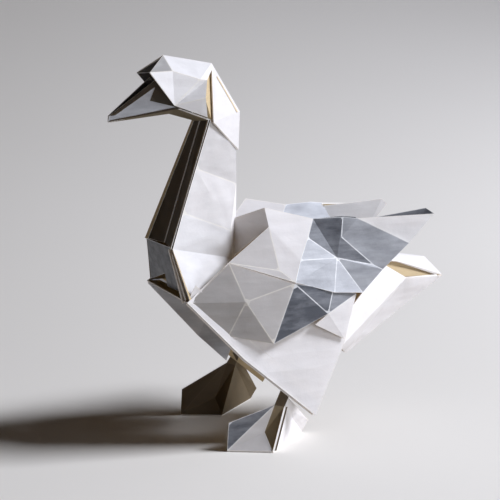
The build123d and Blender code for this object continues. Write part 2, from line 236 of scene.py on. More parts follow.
@dataclass
class Sheet:
    """Creased paper from panels that share corners: two skins half a layer off the folds, and rims.

    Every facet is a barycentric grid. A point is the weighted mean of the three corners, its skin is
    moved by the weighted mean of the corners' mitre shifts, and the facet swells with the distance
    from its creases.
    """

    panels: list[Panel]
    outward: Step = LEFT
    cuts: int = 12
    thick: float = 0.42
    bulge: float = 0.16
    crumple: Crumple = HANDLED
    mitre_limit: float = 2.0
    mitre_cosine: float = 0.1
    bend_cosine: float = 0.9994
    bulge_reach: float = 5.0
    calm_reach: float = 2.5
    edge_reach_share: float = 0.5
    no_edge: float = 50.0

    @staticmethod
    def normals(corners: Array) -> Array:
        """Unit normal of each facet."""
        normal = np.cross(corners[:, 1] - corners[:, 0], corners[:, 2] - corners[:, 0])
        return normal / np.linalg.norm(normal, axis=1)[:, None]

    def facets(self) -> tuple[Array, Array, Array]:
        """Triangles of all panels, turned alike, with their panels' dress.

        Neighbours across a shared edge must run along it in opposite ways; a facet that doesn't is
        turned over, and one that touches none of those before it stays. If the first facet then faces
        away from the outward hint, all are turned.

        Returns:
            Corners of shape (n, 3, 3), tones and painted light of shape (n, 2).
        """
        owners = [p for p in self.panels for _ in p.triangles()]
        corners = np.array([t for p in self.panels for t in p.triangles()])
        tones = np.array([(p.outer, p.inner) for p in owners])
        washes = np.array([(p.wash, p.inner_wash) for p in owners])
        names = [[shared_name(c) for c in t] for t in corners]
        waiting = list(range(1, len(names)))
        used = {(names[0][i], names[0][(i + 1) % 3]) for i in range(3)}
        while waiting:
            for k in waiting:
                edges = [(names[k][i], names[k][(i + 1) % 3]) for i in range(3)]
                alike = any((b, a) in used for a, b in edges)
                against = any(e in used for e in edges)
                if alike or against:
                    break
            if against and not alike:
                corners[k] = corners[k][::-1].copy()
                names[k] = names[k][::-1]
            waiting.remove(k)
            used |= {(names[k][i], names[k][(i + 1) % 3]) for i in range(3)}
        if self.normals(corners[:1])[0] @ np.array(self.outward) < 0:
            corners = corners[:, ::-1].copy()
        return corners, tones, washes

    def mitres(self, corners: Array) -> Array:
        """Shift of each facet corner that carries a skin half a layer off all facets meeting there.

        The direction is the mean of the facets' normals weighted by their angle at the corner, and
        the length is half the layer over the mean cosine to those normals.

        Args:
            corners: Facet corners of shape (n, 3, 3).

        Returns:
            Shifts of shape (n, 3, 3).
        """
        flat = corners.reshape(-1, 3)
        _, index = np.unique(np.round(flat, DIGITS), axis=0, return_inverse=True)
        index = index.reshape(-1)
        arm = np.roll(corners, -1, 1) - corners
        other = np.roll(corners, -2, 1) - corners
        cosine = (arm * other).sum(2) / (np.linalg.norm(arm, axis=2) * np.linalg.norm(other, axis=2))
        angle = np.arccos(np.clip(cosine, -1, 1)).reshape(-1)
        spread = np.repeat(self.normals(corners), 3, 0)
        count = index.max() + 1
        mean = np.zeros((count, 3))
        np.add.at(mean, index, spread * angle[:, None])
        mean /= np.linalg.norm(mean, axis=1)[:, None]
        reach = np.zeros(count)
        np.add.at(reach, index, (spread * mean[index]).sum(1))
        reach /= np.bincount(index)
        length = np.minimum(1 / np.maximum(reach, self.mitre_cosine), self.mitre_limit) * self.thick / 2
        return (mean * length[:, None])[index].reshape(corners.shape)

    def folds(self, corners: Array, dress: Array) -> tuple[Array, ...]:
        """The bends, the worn creases and the free edges of the sheet.

        An edge with one facet is free. One whose two facets lean by over 2 degrees is a bend, and
        one between facets of different tone or painted light is a worn crease.

        Args:
            corners: Facet corners of shape (n, 3, 3).
            dress: Tone and painted light of each facet's outer skin.

        Returns:
            Bends, worn creases and free edges, each of shape (m, 2, 3).
        """
        normal = self.normals(corners)
        seen: dict[frozenset, list[int]] = {}
        ends: dict[frozenset, Array] = {}
        for k, t in enumerate(corners):
            for i in range(3):
                edge = t[[i, (i + 1) % 3]]
                name = frozenset(shared_name(c) for c in edge)
                seen.setdefault(name, []).append(k)
                ends[name] = edge
        pairs = {n: ks for n, ks in seen.items() if len(ks) > 1}
        free = [ends[n] for n, ks in seen.items() if len(ks) == 1]
        bent = [ends[n] for n, ks in pairs.items() if normal[ks[0]] @ normal[ks[1]] < self.bend_cosine]
        worn = [ends[n] for n, ks in pairs.items() if not np.allclose(dress[ks[0]], dress[ks[1]])]
        return tuple(np.array(e).reshape(-1, 2, 3) for e in (bent, worn, free))

    def distance(self, points: Array, edges: Array) -> Array:
        """Distance of each point to the nearest of some edges.

        The foot of a point on an edge is at the share of the edge given by the dot product, kept
        between the ends.

        Args:
            points: Shape (n, 3).
            edges: Shape (m, 2, 3).

        Returns:
            Distances in mm, shape (n,), or a long one where there are no edges.
        """
        nearest = np.full(len(points), self.no_edge)
        for start, end in edges:
            along = end - start
            share = np.clip((points - start) @ along / (along @ along), 0, 1)
            foot = start + share[:, None] * along
            nearest = np.minimum(nearest, np.linalg.norm(points - foot, axis=1))
        return nearest

    def grid(self) -> tuple[Array, Array]:
        """Barycentric grid of one facet.

        A point's weights at the three corners are whole numbers of cuts that add up to all of them,
        over their number.

        Returns:
            Weights of shape (n, 3), and triangles as rows of three points.
        """
        n = self.cuts
        i, j = np.meshgrid(np.arange(n + 1), np.arange(n + 1), indexing="ij")
        inside = i + j <= n
        number = np.full((n + 1, n + 1), -1)
        number[inside] = np.arange(inside.sum())
        u, v = i[inside] / n, j[inside] / n
        cell = (i + j)[:-1, :-1]
        up = np.stack([number[:-1, :-1], number[1:, :-1], number[:-1, 1:]], -1)[cell < n]
        down = np.stack([number[1:, :-1], number[1:, 1:], number[:-1, 1:]], -1)[cell < n - 1]
        return np.stack([1 - u - v, u, v], 1), np.concatenate([up, down])

    def swollen(self, points: Array, tris: Array, to_bend: Array, to_edge: Array) -> Array:
        """Points moved along the surface's normal by bulge and crumple.

        The bulge rises with one minus the exponential of the distance to a bend. Both die out
        towards bends and free edges, as one minus a bell curve of the distance.

        Args:
            points: Shape (n, 3) in mm.
            tris: Triangles as rows of three points.
            to_bend: Distance of each point to the nearest bend.
            to_edge: Distance of each point to the nearest free edge.

        Returns:
            The moved points.
        """
        facing = np.cross(points[tris[:, 1]] - points[tris[:, 0]], points[tris[:, 2]] - points[tris[:, 0]])
        normal = np.zeros_like(points)
        for c in range(3):
            np.add.at(normal, tris[:, c], facing)
        normal /= np.linalg.norm(normal, axis=1)[:, None] + TINY
        near = np.minimum(to_bend, to_edge / self.edge_reach_share)
        calm = 1 - np.exp(-((near / self.calm_reach) ** 2))
        swell = self.bulge * (1 - np.exp(-to_bend / self.bulge_reach)) + self.crumple.at(points)
        return points + normal * (swell * calm)[:, None]

    @staticmethod
    def rims(tris: Array, count: int) -> Array:
        """Triangles that close the free edges between the two skins.

        Args:
            tris: Triangles of the outer skin.
            count: Points of the outer skin, after which those of the inner skin follow.

        Returns:
            Triangles as rows of three points.
        """
        directed = tris[:, [[0, 1], [1, 2], [2, 0]]].reshape(-1, 2)
        _, where, times = np.unique(np.sort(directed, 1), axis=0, return_inverse=True, return_counts=True)
        start, end = directed[times[where.reshape(-1)] == 1].T
        first = np.stack([end, start, start + count], 1)
        second = np.stack([end, start + count, end + count], 1)
        return np.concatenate([first, second])

    def surface(self) -> dict[str, Array]:
        """The closed sheet as arrays.

        Returns:
            Vertices in mm, triangles, tone and painted light of each triangle, and per vertex the distances
            to the nearest worn crease and free edge.
        """
        corners, tones, washes = self.facets()
        weight, small = self.grid()
        points = np.einsum("kc,fcx->fkx", weight, corners).reshape(-1, 3)
        skin = np.einsum("kc,fcx->fkx", weight, self.mitres(corners)).reshape(-1, 3)
        starts = np.arange(len(corners)) * len(weight)
        tris = (small[None] + starts[:, None, None]).reshape(-1, 3)
        tone = np.repeat(tones, len(small), 0)
        wash = np.repeat(washes, len(small), 0)
        rounded = np.round(points, DIGITS)
        _, first, index = np.unique(rounded, axis=0, return_index=True, return_inverse=True)
        points, skin, tris = points[first], skin[first], index.reshape(-1)[tris]
        edges = self.folds(corners, np.stack([tones[:, 0], washes[:, 0]], 1))
        to_bend, to_crease, to_edge = [self.distance(points, e) for e in edges]
        points = self.swollen(points, tris, to_bend, to_edge)
        rims = self.rims(tris, len(points))
        return {
            "vertices": np.concatenate([points + skin, points - skin]),
            "triangles": np.concatenate([tris, tris[:, ::-1] + len(points), rims]),
            "tones": np.concatenate([tone[:, 0], tone[:, 1], np.full(len(rims), int(Tone.WHITE))]),
            "wash": np.concatenate([wash[:, 0], wash[:, 1], np.ones(len(rims))]),
            "crease": np.tile(to_crease, 2),
            "edge": np.tile(to_edge, 2),
        }


class NodeBench:
    """A material's node tree, with short calls for the nodes that the finishes need."""

    def __init__(self, name: str, specular: float) -> None:
        """Starts a material on Object coordinates.

        Args:
            name: Name of the material.
            specular: Specular level of its shader.
        """
        self.material = bpy.data.materials.new(name)
        self.material.use_nodes = True
        self.nodes = self.material.node_tree.nodes
        self.links = self.material.node_tree.links
        self.shader = self.nodes["Principled BSDF"]
        self.place = self.nodes.new("ShaderNodeTexCoord").outputs["Object"]
        self.feed(self.shader, {"Specular IOR Level": specular})

    def feed(self, node: bpy.types.Node, inputs: dict[str | int, object]) -> None:
        """Sets or links inputs of a node.

        Args:
            node: The node.
            inputs: A value or a socket for each input's name or number.
        """
        for key, value in inputs.items():
            if isinstance(value, Socket):
                self.links.new(value, node.inputs[key])
            else:
                node.inputs[key].default_value = value

    def add(self, kind: str, inputs: dict[str | int, object]) -> bpy.types.Node:
        """New node.

        Args:
            kind: Its type, without the prefix that all share.
            inputs: A value or a socket for each input's name or number.

        Returns:
            The node.
        """
        node = self.nodes.new(f"ShaderNode{kind}")
        self.feed(node, inputs)
        return node

    def noise(self, along: Socket, scale: float, detail: float = 2.0, rough: float = 0.5) -> Socket:
        """Noise as a factor."""
        inputs = {"Vector": along, "Scale": scale, "Detail": detail, "Roughness": rough}
        return self.add("TexNoise", inputs).outputs["Fac"]

    def ramp(self, source: Socket, taken: Span, given: Span) -> Socket:
        """Source carried over from one range to another and kept inside.

        Args:
            source: The factor.
            taken: Range of the source, from its start to its end.
            given: Values that the start and the end get.

        Returns:
            The result.
        """
        node = self.add("MapRange", {"Value": source, "From Min": taken[0], "From Max": taken[1]})
        self.feed(node, {"To Min": given[0], "To Max": given[1]})
        return node.outputs["Result"]

    def mix(self, factor: Socket, a: Socket | tuple[float, ...], b: Socket | tuple[float, ...]) -> Socket:
        """Colour mix of two colours or sockets.

        Args:
            factor: Share of the second one.
            a: The first one.
            b: The second one.

        Returns:
            The mixed colour.
        """
        node = self.nodes.new("ShaderNodeMix")
        node.data_type = "RGBA"
        self.feed(node, {"Factor": factor, "A": a, "B": b})
        return node.outputs["Result"]

    def join(self, operation: str, a: Socket, b: Socket) -> Socket:
        """Sum, difference, product or larger of two factors, kept between 0 and 1.

        Args:
            operation: Name of the operation.
            a: The first factor.
            b: The second factor.

        Returns:
            The result.
        """
        node = self.add("Math", {0: a, 1: b})
        node.operation = operation
        node.use_clamp = True
        return node.outputs["Value"]

    def attribute(self, name: str) -> Socket:
        """Attribute of the mesh as a factor.

        Args:
            name: Name of the attribute.

        Returns:
            The factor.
        """
        node = self.add("Attribute", {})
        node.attribute_name = name
        return node.outputs["Fac"]

    def bump(self, height: Socket, strength: float, distance: float, under: Socket | None = None) -> Socket:
        """Normal bent by a height.

        Args:
            height: The height as a factor.
            strength: How much of it shows.
            distance: What a height of 1 is, in m.
            under: Normal from a bump below this one.

        Returns:
            The normal.
        """
        node = self.add("Bump", {"Height": height, "Strength": strength, "Distance": distance})
        if under is not None:
            self.feed(node, {"Normal": under})
        return node.outputs["Normal"]


@dataclass(frozen=True)
class PaperFinish:
    """Uncoated paper: painted shade and light per facet, fibre clouds and streaks, worn creases, cut edges
    and fine tooth.
    """

    name: str
    deep: Step
    pale: Step
    worn: Step
    line: float
    line_strength: float
    wash_share: float
    streaks: float
    glow: float
    roughness: Span
    tooth: float
    specular: float = 0.3
    glow_colour: Step = (0.98, 0.76, 0.42)
    grain_turn: Step = (0.0, 0.6, 0.3)
    grain_stretch: Step = (0.3, 1.0, 1.6)
    cloud_scale: float = 90.0
    streak_scale: float = 230.0
    fibre_scale: float = 900.0
    wear_scale: float = 260.0
    dent_scale: float = 75.0
    wrinkle_scale: float = 95.0
    cloud_span: Span = (0.3, 0.7)
    streak_span: Span = (0.35, 0.65)
    wear_span: Span = (0.3, 0.6)
    wear_strengths: Span = (0.45, 1.0)
    wrinkle_detail: float = 1.0
    line_core: float = 0.4
    rim_share: float = 0.8
    tooth_height: float = 0.00012
    dents: float = 0.45
    dent_height: float = 0.001
    wrinkles: float = 0.3
    wrinkle_height: float = 0.001

    def colour(self, bench: NodeBench, clouds: Socket, grain: Socket) -> Socket:
        """Colour from deep to pale by the attribute of painted shade and light, with clouds, streaks and worn
        lines.

        The crease and edge attributes, in mm, fade paler lines in, broken up by noise.

        Args:
            bench: The material's nodes.
            clouds: Cloud noise.
            grain: Coordinates stretched along the grain.

        Returns:
            The colour.
        """
        brushed = bench.noise(grain, self.streak_scale, detail=4.0, rough=0.62)
        washes = (0.5 - self.wash_share / 2, 0.5 + self.wash_share / 2)
        # Painted shade and light: each facet's paleness, set to stand for how light falls on it.
        shade = bench.ramp(bench.attribute("wash"), (0.0, 1.0), washes)
        shade = bench.join("ADD", shade, bench.ramp(clouds, self.cloud_span, (0.0, self.streaks)))
        shade = bench.join("SUBTRACT", shade, bench.ramp(brushed, self.streak_span, (0.0, self.streaks)))
        base = bench.mix(shade, rgba(self.deep), rgba(self.pale))
        core = (self.line * self.line_core, self.line)
        fold = bench.ramp(bench.attribute("crease"), core, (self.line_strength, 0.0))
        rim_line, rim_strength = self.line * self.rim_share, self.line_strength * self.rim_share
        rim = bench.ramp(bench.attribute("edge"), (0.0, rim_line), (rim_strength, 0.0))
        patches = bench.noise(bench.place, self.wear_scale, detail=4.0, rough=0.65)
        wear = bench.ramp(patches, self.wear_span, self.wear_strengths)
        lines = bench.join("MULTIPLY", bench.join("MAXIMUM", fold, rim), wear)
        return bench.mix(lines, base, rgba(self.worn))

    def relief(self, bench: NodeBench, grain: Socket) -> Socket:
        """Normal from three bumps on each other: fibre tooth, shallow dents, small wrinkles.

        Args:
            bench: The material's nodes.
            grain: Coordinates stretched along the grain.

        Returns:
            The normal.
        """
        fibre = bench.noise(bench.place, self.fibre_scale, detail=3.0, rough=0.7)
        hollows = bench.noise(bench.place, self.dent_scale, detail=2.0, rough=0.45)
        across = {"Vector": grain, "Scale": self.wrinkle_scale, "Detail": self.wrinkle_detail}
        cells = bench.add("TexVoronoi", across)
        tooth = bench.bump(fibre, self.tooth, self.tooth_height)
        dents = bench.bump(hollows, self.dents, self.dent_height, tooth)
        return bench.bump(cells.outputs["Distance"], self.wrinkles, self.wrinkle_height, dents)

    def material(self) -> bpy.types.Material:
        """Node material of the finish, some of whose light goes through the paper.

        Returns:
            The material.
        """
        bench = NodeBench(self.name, self.specular)
        turn = {"Vector": bench.place, "Rotation": self.grain_turn, "Scale": self.grain_stretch}
        grain = bench.add("Mapping", turn).outputs["Vector"]
        clouds = bench.noise(bench.place, self.cloud_scale, detail=5.0, rough=0.6)
        bench.feed(bench.shader, {
            "Base Color": self.colour(bench, clouds, grain),
            "Roughness": bench.ramp(clouds, self.cloud_span, self.roughness),
            "Normal": self.relief(bench, grain),
        })
        through = bench.add("BsdfTranslucent", {"Color": rgba(self.glow_colour)})
        shaders = {1: bench.shader.outputs["BSDF"], 2: through.outputs["BSDF"]}
        both_ways = bench.add("MixShader", {"Fac": self.glow, **shaders})
        bench.feed(bench.nodes["Material Output"], {"Surface": both_ways.outputs["Shader"]})
        return bench.material


WHITE_PAPER = PaperFinish(
    name="white_paper", deep=(0.30, 0.29, 0.28), pale=(0.93, 0.91, 0.91), worn=(0.97, 0.92, 0.80),
    line=0.28, line_strength=0.4, wash_share=1.0, streaks=0.08, glow=0.18,
    roughness=(0.62, 0.78), tooth=0.35)
GREY_PAPER = PaperFinish(
    name="grey_reverse_paper", deep=(0.058, 0.064, 0.078), pale=(0.57, 0.58, 0.61), worn=(0.84, 0.84, 0.84),
    line=0.23, line_strength=0.85, wash_share=0.95, streaks=0.22, glow=0.05,
    roughness=(0.40, 0.58), tooth=0.4)
# Painted shade: tan for white paper in warm shade, near black for gaps and cast shadows.
PAINTED_SHADE_PAPER = PaperFinish(
    name="painted_shade_paper", deep=(0.026, 0.023, 0.019), pale=(0.78, 0.61, 0.36), worn=(0.78, 0.72, 0.60),
    line=0.25, line_strength=0.05, wash_share=1.0, streaks=0.03, glow=0.18,
    roughness=(0.65, 0.8), tooth=0.35)


class PaperShop:
    """Puts sheets into meshes and dresses them with the paper finishes."""

    def __init__(self) -> None:
        """Makes the materials once, in the order of the tones."""
        self.materials = [finish.material() for finish in (WHITE_PAPER, GREY_PAPER, PAINTED_SHADE_PAPER)]

    def piece(self, name: str, sheets: list[Sheet]) -> bpy.types.Object:
        """One object from several closed sheets.

        Args:
            name: Name of the piece.
            sheets: Its sheets, in mm about the flank corner and the middle plane.

        Returns:
            The object, riding on the root body in place of the CAD node.
        """
        parts = [sheet.surface() for sheet in sheets]
        starts = np.cumsum([0] + [len(p["vertices"]) for p in parts[:-1]])
        vertices = np.concatenate([p["vertices"] for p in parts])
        vertices = (vertices + np.array([MIDDLE_X, MIDDLE_Y, 0.0])) * MM
        triangles = np.concatenate([p["triangles"] + s for p, s in zip(parts, starts)])
        tones = np.concatenate([p["tones"] for p in parts])
        mesh = bpy.data.meshes.new(name)
        mesh.from_pydata(vertices.tolist(), [], triangles.tolist())
        for mat in self.materials:
            mesh.materials.append(mat)
        mesh.polygons.foreach_set("material_index", tones.astype(np.int32))
        mesh.polygons.foreach_set("use_smooth", np.ones(len(tones), bool))
        # The third attribute carries the painted shade and light of each facet.
        for key, domain in (("crease", "POINT"), ("edge", "POINT"), ("wash", "FACE")):
            layer = mesh.attributes.new(key, "FLOAT", domain)
            layer.data.foreach_set("value", np.concatenate([p[key] for p in parts]).astype(np.float32))
        mesh.set_sharp_from_angle(angle=SHARP_ANGLE)
        mesh.update()
        obj = bpy.data.objects.new(name, mesh)
        bpy.context.scene.collection.objects.link(obj)
        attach(obj, ROOT)
        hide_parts(NODE)
        log.info("%s: %d triangles in %d sheets", name, len(triangles), len(sheets))
        return obj


@dataclass
class Corners:
    """Corners that several folds hang on, in mm, from the flank's lowest corner on the left."""

    stand: float = 9.4
    flank_half: float = 22.0
    chest: Step = (-41.3, 20.7, 38.3)
    neck_base_step: Step = (-2.1, 13.6, 15.1)
    bib_step: Step = (1.0, 20.3, 0.6)
    throat_step: Step = (14.3, 7.6, 38.0)
    nape_step: Step = (12.1, 0.0, 2.2)
    neck_foot_step: Step = (24.9, 0.0, -5.6)
    neck_tuck_step: Step = (23.7, 1.0, -5.7)
    hood_back_step: Step = (3.0, 0.0, 16.8)
    rim_top_step: Step = (30.2, 10.5, 20.0)
    rim_fold_step: Step = (14.5, 16.6, 10.5)
    root_step: Step = (-0.4, 8.0, 5.4)
    knee_step: Step = (4.9, 21.0, -21.4)
    top_step: Step = (15.2, 10.7, -3.7)
    crest_step: Step = (24.8, 12.4, -3.4)
    split_step: Step = (29.4, 13.3, -3.8)
    split_width: float = 1.2
    tip_step: Step = (55.4, 16.3, -2.9)
    wing_corner_step: Step = (46.9, 15.5, -12.1)
    wing_inner_step: Step = (30.0, 13.0, -20.0)
    gusset_inset: float = 0.8
    gusset_rise: float = 12.0
    back_rear_step: Step = (39.8, 0.0, -11.0)
    flank_rear_step: Step = (18.5, 18.0, -20.1)
    flank_top_step: Step = (22.2, 16.0, -5.9)
    flank_tuck_shares: tuple[Span, Span] = ((0.62, 0.24), (0.31, 0.57))
    hood_low_front_step: Step = (-10.7, 5.6, 4.4)
    hood_low_back_step: Step = (-0.8, 7.4, 0.8)
    beak_tip_step: Step = (-19.1, 0.2, -4.8)
    seam_top_step: Step = (-0.2, 0.3, 0.5)
    belly_share: float = 0.42
    belly_bow: float = 2.3

    def __post_init__(self) -> None:
        """Works the corners out from their steps."""
        self.flank_tip = np.array([0.0, -self.flank_half, self.stand])
        self.chest_low = corner(self.flank_tip, self.chest)
        self.neck_base = corner(self.chest_low, self.neck_base_step)
        self.bib = corner(self.chest_low, self.bib_step)
        self.throat = corner(self.neck_base, self.throat_step)
        self.nape = corner(self.throat, self.nape_step)
        self.neck_foot = corner(self.neck_base, self.neck_foot_step)
        self.neck_tuck = corner(self.neck_base, self.neck_tuck_step)
        self.hood_back = corner(self.throat, self.hood_back_step)
        self.rim_top = corner(self.chest_low, self.rim_top_step)
        self.rim_fold = corner(self.chest_low, self.rim_fold_step)
        on_edge = between(self.chest_low, self.flank_tip, self.belly_share)
        self.belly = toward(on_edge, self.rim_fold, -self.belly_bow)
        self.wing_root = corner(self.rim_top, self.root_step)
        self.wing_knee = corner(self.wing_root, self.knee_step)
        self.wing_top = corner(self.wing_root, self.top_step)
        self.wing_crest = corner(self.wing_root, self.crest_step)
        self.wing_split = corner(self.wing_root, self.split_step)
        self.wing_tip = corner(self.wing_root, self.tip_step)
        self.wing_corner = corner(self.wing_root, self.wing_corner_step)
        self.wing_inner = corner(self.wing_root, self.wing_inner_step)
        self.gusset_low = self.neck_foot - offset(run=self.gusset_inset)
        self.gusset_top = self.gusset_low + offset(rise=self.gusset_rise)
        self.back_rear = corner(self.gusset_top, self.back_rear_step)
        self.lining_split = toward(self.wing_split, self.back_rear, self.split_width)
        self.flank_rear = corner(self.wing_knee, self.flank_rear_step)
        self.flank_top = corner(self.wing_knee, self.flank_top_step)
        run, climb = self.chest_low - self.flank_tip, self.flank_top - self.flank_tip
        self.flank_tucks = [self.flank_tip + run * r + climb * c for r, c in self.flank_tuck_shares]
        self.hood_low_front = corner(self.throat, self.hood_low_front_step)
        self.hood_low_back = corner(self.throat, self.hood_low_back_step)
        self.beak_tip = corner(self.hood_low_front, self.beak_tip_step)
        self.seam_top = corner(self.throat, self.seam_top_step)


@dataclass
class Part:
    """Sub-assembly of the goose, whose sheets hang on the shared corners and make one piece."""

    name: ClassVar[str]
    at: Corners

    def sheets(self) -> list[Sheet]:
        """The sheets of the piece."""
        raise NotImplementedError


@dataclass
class Neck(Part):
    """Neck tube with its front flaps and their hems, crimp and bibs."""

    name = "neck"
    top_share: float = 0.85
    fold_shares: Span = (0.38, 0.72)
    ridge_step: Step = (-1.2, 0.0, -22.5)
    knee_step: Step = (-2.5, 2.8, 9.0)
    seam_base_step: Step = (2.0, 0.3, 0.2)
    bib_hem: float = 6.0
    # The strips along the front edges show painted shade: olive for white paper in shade.
    shade_strip_width: float = 1.1
    hem_wash: float = 0.45
    far_hem_width: float = 2.2
    far_hem_wash: float = 0.8
    seam_width: float = 0.6
    sliver_width: float = 1.7
    sliver_off: Step = (-0.15, -0.4, 0.1)
    proud: float = 0.5
    crumple: Crumple = Crumple(seed=11, height=0.2)

    def half(self) -> list[Panel]:
        """Left half: front flap in painted shade, side wall with its creases and painted shading, crimp, bib
        and the slit at the back.

        Returns:
            The panels.
        """
        c = self.at
        top = between(c.hood_back, c.nape, self.top_share)
        fold, bend = [between(c.throat, c.neck_base, s) for s in self.fold_shares]
        ridge, knee = corner(c.nape, self.ridge_step), corner(c.neck_foot, self.knee_step)
        seam_base = corner(c.neck_base, self.seam_base_step)
        hem = c.neck_tuck - offset(rise=self.bib_hem)
        # Painted shade: the front flaps near black, the wall's facets paler from top to bottom, the inner
        # skins at the base near black.
        painted_shade = {"outer": Tone.PAINTED_SHADE, "wash": 0.03}
        return [
            panel(c.throat, top, ridge, fold, wash=0.45),
            panel(fold, ridge, knee, bend, wash=0.62),
            panel(c.neck_base, bend, knee, c.neck_tuck, c.bib, wash=0.74, inner_wash=0.05),
            panel(c.neck_tuck, hem, c.bib, wash=0.85, inner_wash=0.05),
            panel(c.neck_foot, ridge, knee, c.neck_tuck),
            panel(c.seam_top, c.throat, fold, bend, **painted_shade),
            panel(seam_base, c.seam_top, bend, c.neck_base, **painted_shade),
        ]

    def hem(self, width: float, wash: float) -> list[Panel]:
        """Narrow strip folded in along the left front edge, proud of the flap behind it, in painted shade.

        Args:
            width: Its width in mm.
            wash: How pale it is.

        Returns:
            One panel.
        """
        c = self.at
        out = offset(run=-self.proud)
        high, low = c.throat + out, c.neck_base + out
        inner_high = toward(high, c.seam_top + out, width)
        inner_low = toward(low, corner(low, self.seam_base_step), width)
        return [panel(high, low, inner_low, inner_high, outer=Tone.PAINTED_SHADE, wash=wash)]

    def bib_strip(self) -> list[Panel]:
        """Sliver of the layer below, along the left bib's front edge, in painted shade of tan.

        Returns:
            One panel.
        """
        c = self.at
        inner = toward(c.bib, c.neck_tuck - offset(rise=self.bib_hem), self.sliver_width)
        sliver = panel(c.neck_base, c.bib, inner, outer=Tone.PAINTED_SHADE, wash=0.72)
        return [sliver.moved(np.array(self.sliver_off))]

    def seam(self) -> list[Panel]:
        """Cut edge of the left flap, standing up along the middle.

        Returns:
            One panel.
        """
        c = self.at
        high, low = c.seam_top, corner(c.neck_base, self.seam_base_step)
        out = offset(run=-self.seam_width)
        return [panel(high, low, low + out, high + out, inner=Tone.WHITE)]

    def sheets(self) -> list[Sheet]:
        """Tube with its bibs, then hems, seam and sliver.

        Returns:
            The sheets.
        """
        far = mirrored(self.hem(self.far_hem_width, self.far_hem_wash))
        strips = (self.hem(self.shade_strip_width, self.hem_wash), far, self.seam())
        sheets = [Sheet(both(self.half()), crumple=self.crumple)]
        sheets += [Sheet(p, outward=FRONT, cuts=6, thick=TRIM_THICK, bulge=0.0) for p in strips]
        sheets.append(Sheet(self.bib_strip(), cuts=6, thick=FINE_THICK, bulge=0.0, crumple=SMOOTH))
        return sheets


@dataclass
class Chest(Part):
    """Apron between the bibs, the lip under it and the two pleat edges on its left."""

    name = "chest"
    set_back: float = 2.2
    right_inset: float = 0.4
    notch_width_share: float = 0.42
    notch_rise_share: float = 0.3
    pleat_tops: tuple[Step, Step] = ((0.1, 12.7, -1.7), (-0.7, 11.7, -0.2))
    pleat_lows: tuple[Step, Step] = ((-0.7, 19.2, -1.0), (-1.5, 18.1, -1.2))
    pleat_depth: float = 4.5
    lip_depth: float = 4.0
    shelf_depth: float = 5.0
    shelf_rise: float = 0.6
    shelf_taper: float = 0.35

    def apron(self) -> list[Panel]:
        """Grey chest panel with a notch at its lower right, and the shelf behind its top edge, both with
        painted shade.

        Returns:
            The panels.
        """
        c = self.at
        sides = (c.neck_base, c.bib)
        top, low = [toward(p, c.neck_tuck, self.set_back) for p in sides]
        right_top, right_low = [flipped(toward(p, c.neck_tuck, self.right_inset)) for p in sides]
        notch_low = between(right_low, low, self.notch_width_share)
        over_notch = between(right_top, top, self.notch_width_share)
        notch_top = between(notch_low, over_notch, self.notch_rise_share)
        back = offset(run=self.shelf_depth, rise=self.shelf_rise)
        shelf_left = between(top, right_top, self.shelf_taper) + back
        shelf_right = between(right_top, top, self.shelf_taper) + back
        # Painted shade: the grey panel kept dim, and the shelf seen through the notch nearly black.
        return [
            panel(notch_top, right_low, right_top, top, low, notch_low, outer=Tone.GREY, wash=0.2),
            panel(right_top, top, shelf_left, shelf_right, outer=Tone.PAINTED_SHADE, wash=0.2),
        ]

    def lip(self) -> list[Panel]:
        """Left half of the lip under the apron, with painted shade on its inner skin.

        Returns:
            One panel.
        """
        front = self.at.chest_low
        back = front + offset(run=self.lip_depth)
        return [panel(front, back, middle(back), middle(front), inner_wash=0.0)]

    def pleat(self, top_step: Step, low_step: Step) -> list[Panel]:
        """One pleat edge beside the left bib.

        Args:
            top_step: Its upper end, from the base of the neck.
            low_step: Its lower end, from the bib's corner.

        Returns:
            One panel.
        """
        c = self.at
        top, low = corner(c.neck_base, top_step), corner(c.bib, low_step)
        inward = sized(c.neck_tuck - between(c.neck_base, c.bib, 0.5), self.pleat_depth)
        return [panel(top, low, low + inward, top + inward, inner=Tone.WHITE)]

    def sheets(self) -> list[Sheet]:
        """Apron, pleat edges and lip.

        Returns:
            The sheets.
        """
        sheets = [Sheet(self.apron(), outward=FRONT)]
        for steps in zip(self.pleat_tops, self.pleat_lows):
            sheets.append(Sheet(self.pleat(*steps), cuts=4, bulge=0.0, crumple=SMOOTH))
        sheets.append(Sheet(both(self.lip()), outward=DOWN, cuts=6))
        return sheets


